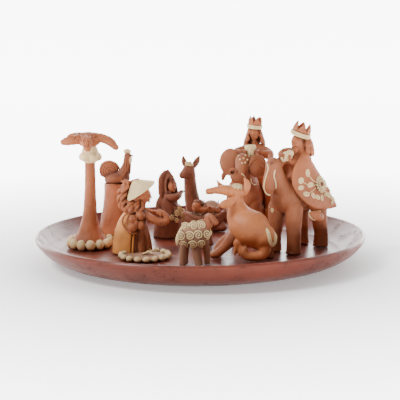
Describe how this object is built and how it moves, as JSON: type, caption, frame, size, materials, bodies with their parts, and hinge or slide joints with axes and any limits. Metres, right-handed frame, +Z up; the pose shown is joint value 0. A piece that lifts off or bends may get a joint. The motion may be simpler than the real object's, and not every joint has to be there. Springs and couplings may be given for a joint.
{
  "type": "clay nativity group on a plate",
  "caption": "Hand-modelled clay nativity figures with cream applied details, standing loose on a shallow burnished clay plate",
  "frame": {"origin": "centre of the plate's flat underside, on the surface it stands on", "axes": "+Z up, +X to the viewer's right, +Y towards the back of the group, so the figures are seen from -Y"},
  "size_m": [0.305, 0.305, 0.1297],
  "materials": {
    "terracotta": "matte",
    "dark_clay": "matte",
    "warm_brown_clay": "matte",
    "orange_clay": "matte",
    "ochre_clay": "matte",
    "cream_slip_clay": "matte",
    "grey_brown_clay": "matte",
    "burnished_clay": "satin"
  },
  "bodies": {
    "plate": {"plate": "burnished_clay"},
    "palm": {"palm_trunk": "terracotta", "palm_collar": "cream_slip_clay", "palm_fronds": "terracotta", "palm_stones": "cream_slip_clay"},
    "stump_and_rooster": {"stump": "terracotta", "stump_stones": "cream_slip_clay", "rooster_body": "terracotta", "rooster_tail": "terracotta", "rooster_comb": "cream_slip_clay"},
    "shepherd_and_fire": {"shepherd_robe": "terracotta", "shepherd_cape": "ochre_clay", "shepherd_head": "terracotta", "shepherd_hat": "cream_slip_clay", "shepherd_sheaf": "terracotta", "shepherd_fruit": "terracotta", "shepherd_arms": "terracotta", "fire_hearth": "grey_brown_clay", "fire_stones": "cream_slip_clay", "fire_logs": "cream_slip_clay"},
    "mary": {"mary_robe": "dark_clay", "mary_head": "terracotta", "mary_hood": "dark_clay", "mary_scarf": "dark_clay", "mary_sleeve": "dark_clay", "mary_flowers": "cream_slip_clay"},
    "donkey": {"donkey_body": "dark_clay", "donkey_blanket": "grey_brown_clay", "donkey_forelock": "cream_slip_clay"},
    "crib_and_child": {"manger": "dark_clay", "manger_straw": "grey_brown_clay", "child": "terracotta", "child_hair": "dark_clay"},
    "sheep": {"sheep_body": "warm_brown_clay", "sheep_fleece": "cream_slip_clay"},
    "cow": {"cow_body": "orange_clay", "cow_topknot": "cream_slip_clay", "cow_tail": "cream_slip_clay"},
    "elephant_and_king": {"elephant_body": "warm_brown_clay", "elephant_ear_right": "warm_brown_clay", "elephant_ear_left": "warm_brown_clay", "king_one_robe": "terracotta", "king_one_head": "terracotta", "king_one_crown": "terracotta", "king_one_crown_band": "cream_slip_clay", "king_one_hair": "dark_clay", "king_one_gift": "cream_slip_clay"},
    "camel_and_king": {"camel_body": "warm_brown_clay", "king_two_robe": "terracotta", "king_two_head": "terracotta", "king_two_crown": "terracotta", "king_two_crown_band": "cream_slip_clay", "king_two_hair": "dark_clay", "king_two_gift": "cream_slip_clay", "king_two_cape": "terracotta", "king_two_foot": "terracotta", "cape_flower": "cream_slip_clay"}
  },
  "joints": [
    {"name": "lift_palm", "type": "slide", "parent": "plate", "child": "palm", "axis": [0, 0, 1], "range_m": [0, 0.15]},
    {"name": "lift_stump_and_rooster", "type": "slide", "parent": "plate", "child": "stump_and_rooster", "axis": [0, 0, 1], "range_m": [0, 0.15]},
    {"name": "lift_shepherd_and_fire", "type": "slide", "parent": "plate", "child": "shepherd_and_fire", "axis": [0, 0, 1], "range_m": [0, 0.15]},
    {"name": "lift_mary", "type": "slide", "parent": "plate", "child": "mary", "axis": [0, 0, 1], "range_m": [0, 0.15]},
    {"name": "lift_donkey", "type": "slide", "parent": "plate", "child": "donkey", "axis": [0, 0, 1], "range_m": [0, 0.15]},
    {"name": "lift_crib_and_child", "type": "slide", "parent": "plate", "child": "crib_and_child", "axis": [0, 0, 1], "range_m": [0, 0.15]},
    {"name": "lift_sheep", "type": "slide", "parent": "plate", "child": "sheep", "axis": [0, 0, 1], "range_m": [0, 0.15]},
    {"name": "lift_cow", "type": "slide", "parent": "plate", "child": "cow", "axis": [0, 0, 1], "range_m": [0, 0.15]},
    {"name": "lift_elephant_and_king", "type": "slide", "parent": "plate", "child": "elephant_and_king", "axis": [0, 0, 1], "range_m": [0, 0.15]},
    {"name": "lift_camel_and_king", "type": "slide", "parent": "plate", "child": "camel_and_king", "axis": [0, 0, 1], "range_m": [0, 0.15]}
  ]
}
